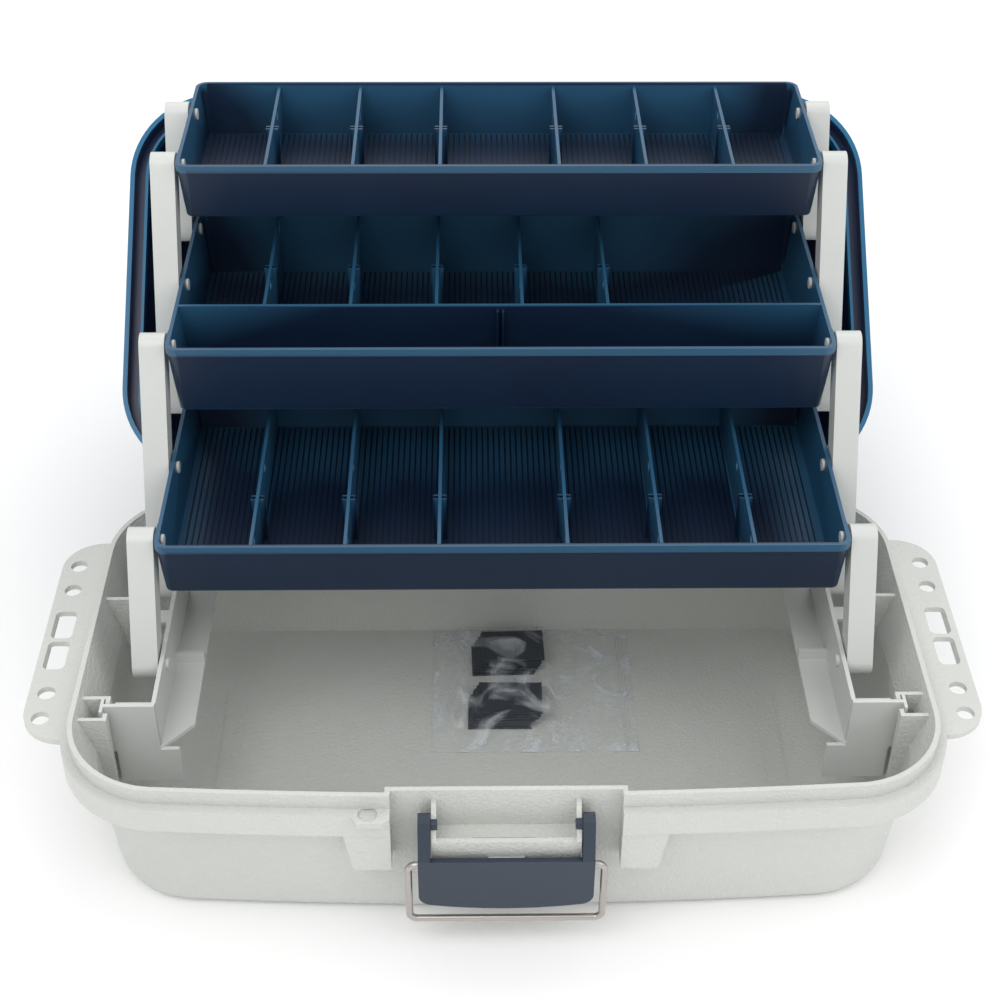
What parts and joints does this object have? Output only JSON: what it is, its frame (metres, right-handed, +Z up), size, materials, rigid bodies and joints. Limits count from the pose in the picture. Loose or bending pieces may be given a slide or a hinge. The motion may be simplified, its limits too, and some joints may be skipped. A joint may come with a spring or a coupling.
{
  "type": "fishing tackle box",
  "caption": "Hinged tackle box, open: a white tub with side flanges, a deep blue lid, and blue compartment trays raised on white cantilever arms.",
  "frame": {"origin": "centre of the tub's underside", "axes": "+X along the box to the right seen from its front, +Y towards the lid hinge, +Z up"},
  "size_m": [0.443, 0.4787, 0.2476],
  "materials": {
    "white_plastic": "satin, fine grain",
    "blue_plastic": "satin",
    "steel_wire": "plain",
    "clear_film": "clear film"
  },
  "bodies": {
    "base_body": {"base": "white_plastic", "bracket_left": "white_plastic", "bracket_right": "white_plastic", "hinge_pin_left": "steel_wire", "hinge_pin_right": "steel_wire", "spare_dividers": "blue_plastic", "divider_bag": "clear_film"},
    "lid_body": {"lid": "blue_plastic"},
    "handle_body": {"carry_handle": "blue_plastic"},
    "lever_body": {"latch_lever": "blue_plastic"},
    "bail_body": {"latch_bail": "steel_wire"},
    "low_tray_body": {"tray_low": "blue_plastic"},
    "middle_tray_body": {"tray_middle": "blue_plastic"},
    "top_tray_body": {"tray_top": "blue_plastic"},
    "front_short_arms": {"arm_front_left": "white_plastic", "arm_front_right": "white_plastic"},
    "low_long_arms": {"arm_low_long_left": "white_plastic", "arm_low_long_right": "white_plastic"},
    "high_long_arms": {"arm_high_long_left": "white_plastic", "arm_high_long_right": "white_plastic"},
    "back_short_arms": {"arm_back_left": "white_plastic", "arm_back_right": "white_plastic"}
  },
  "joints": [
    {"name": "fold", "type": "hinge", "parent": "base_body", "child": "low_long_arms", "pos_m": [0, 0.042, 0.0791], "axis": [1, 0, 0], "range_deg": [0, 76]},
    {"name": "low_tray_level", "type": "hinge", "parent": "low_long_arms", "child": "low_tray_body", "pos_m": [0, 0.0685, 0.1331], "axis": [1, 0, 0], "range_deg": [-76, 0]},
    {"name": "middle_tray_level", "type": "hinge", "parent": "low_long_arms", "child": "middle_tray_body", "pos_m": [0, 0.095, 0.1871], "axis": [1, 0, 0], "range_deg": [-76, 0]},
    {"name": "front_arms_swing", "type": "hinge", "parent": "base_body", "child": "front_short_arms", "pos_m": [0, -0.015, 0.0791], "axis": [1, 0, 0], "range_deg": [0, 76]},
    {"name": "high_arms_swing", "type": "hinge", "parent": "low_tray_body", "child": "high_long_arms", "pos_m": [0, 0.1255, 0.1331], "axis": [1, 0, 0], "range_deg": [0, 76]},
    {"name": "top_tray_level", "type": "hinge", "parent": "high_long_arms", "child": "top_tray_body", "pos_m": [0, 0.1785, 0.2411], "axis": [1, 0, 0], "range_deg": [-76, 0]},
    {"name": "back_arms_swing", "type": "hinge", "parent": "middle_tray_body", "child": "back_short_arms", "pos_m": [0, 0.209, 0.1871], "axis": [1, 0, 0], "range_deg": [0, 76]},
    {"name": "lid_swing", "type": "hinge", "parent": "base_body", "child": "lid_body", "pos_m": [0, 0.115, 0.084], "axis": [1, 0, 0], "range_deg": [0, 140]},
    {"name": "lever_swing", "type": "hinge", "parent": "base_body", "child": "lever_body", "pos_m": [0, -0.111, 0.072], "axis": [1, 0, 0], "range_deg": [-95, 0]},
    {"name": "bail_swing", "type": "hinge", "parent": "lever_body", "child": "bail_body", "pos_m": [0, -0.1187, 0.0545], "axis": [1, 0, 0], "range_deg": [-95, 5]},
    {"name": "handle_swing", "type": "hinge", "parent": "lid_body", "child": "handle_body", "pos_m": [0, 0.2882, 0.0565], "axis": [1, 0, 0], "range_deg": [-42, 123]}
  ],
  "couplings": [
    {"joint": "low_tray_level", "follows": "fold", "ratio": -1},
    {"joint": "middle_tray_level", "follows": "fold", "ratio": -1},
    {"joint": "front_arms_swing", "follows": "fold", "ratio": 1},
    {"joint": "high_arms_swing", "follows": "fold", "ratio": 1},
    {"joint": "top_tray_level", "follows": "fold", "ratio": -1},
    {"joint": "back_arms_swing", "follows": "fold", "ratio": 1},
    {"joint": "lid_swing", "follows": "fold", "ratio": 1.8421}
  ]
}
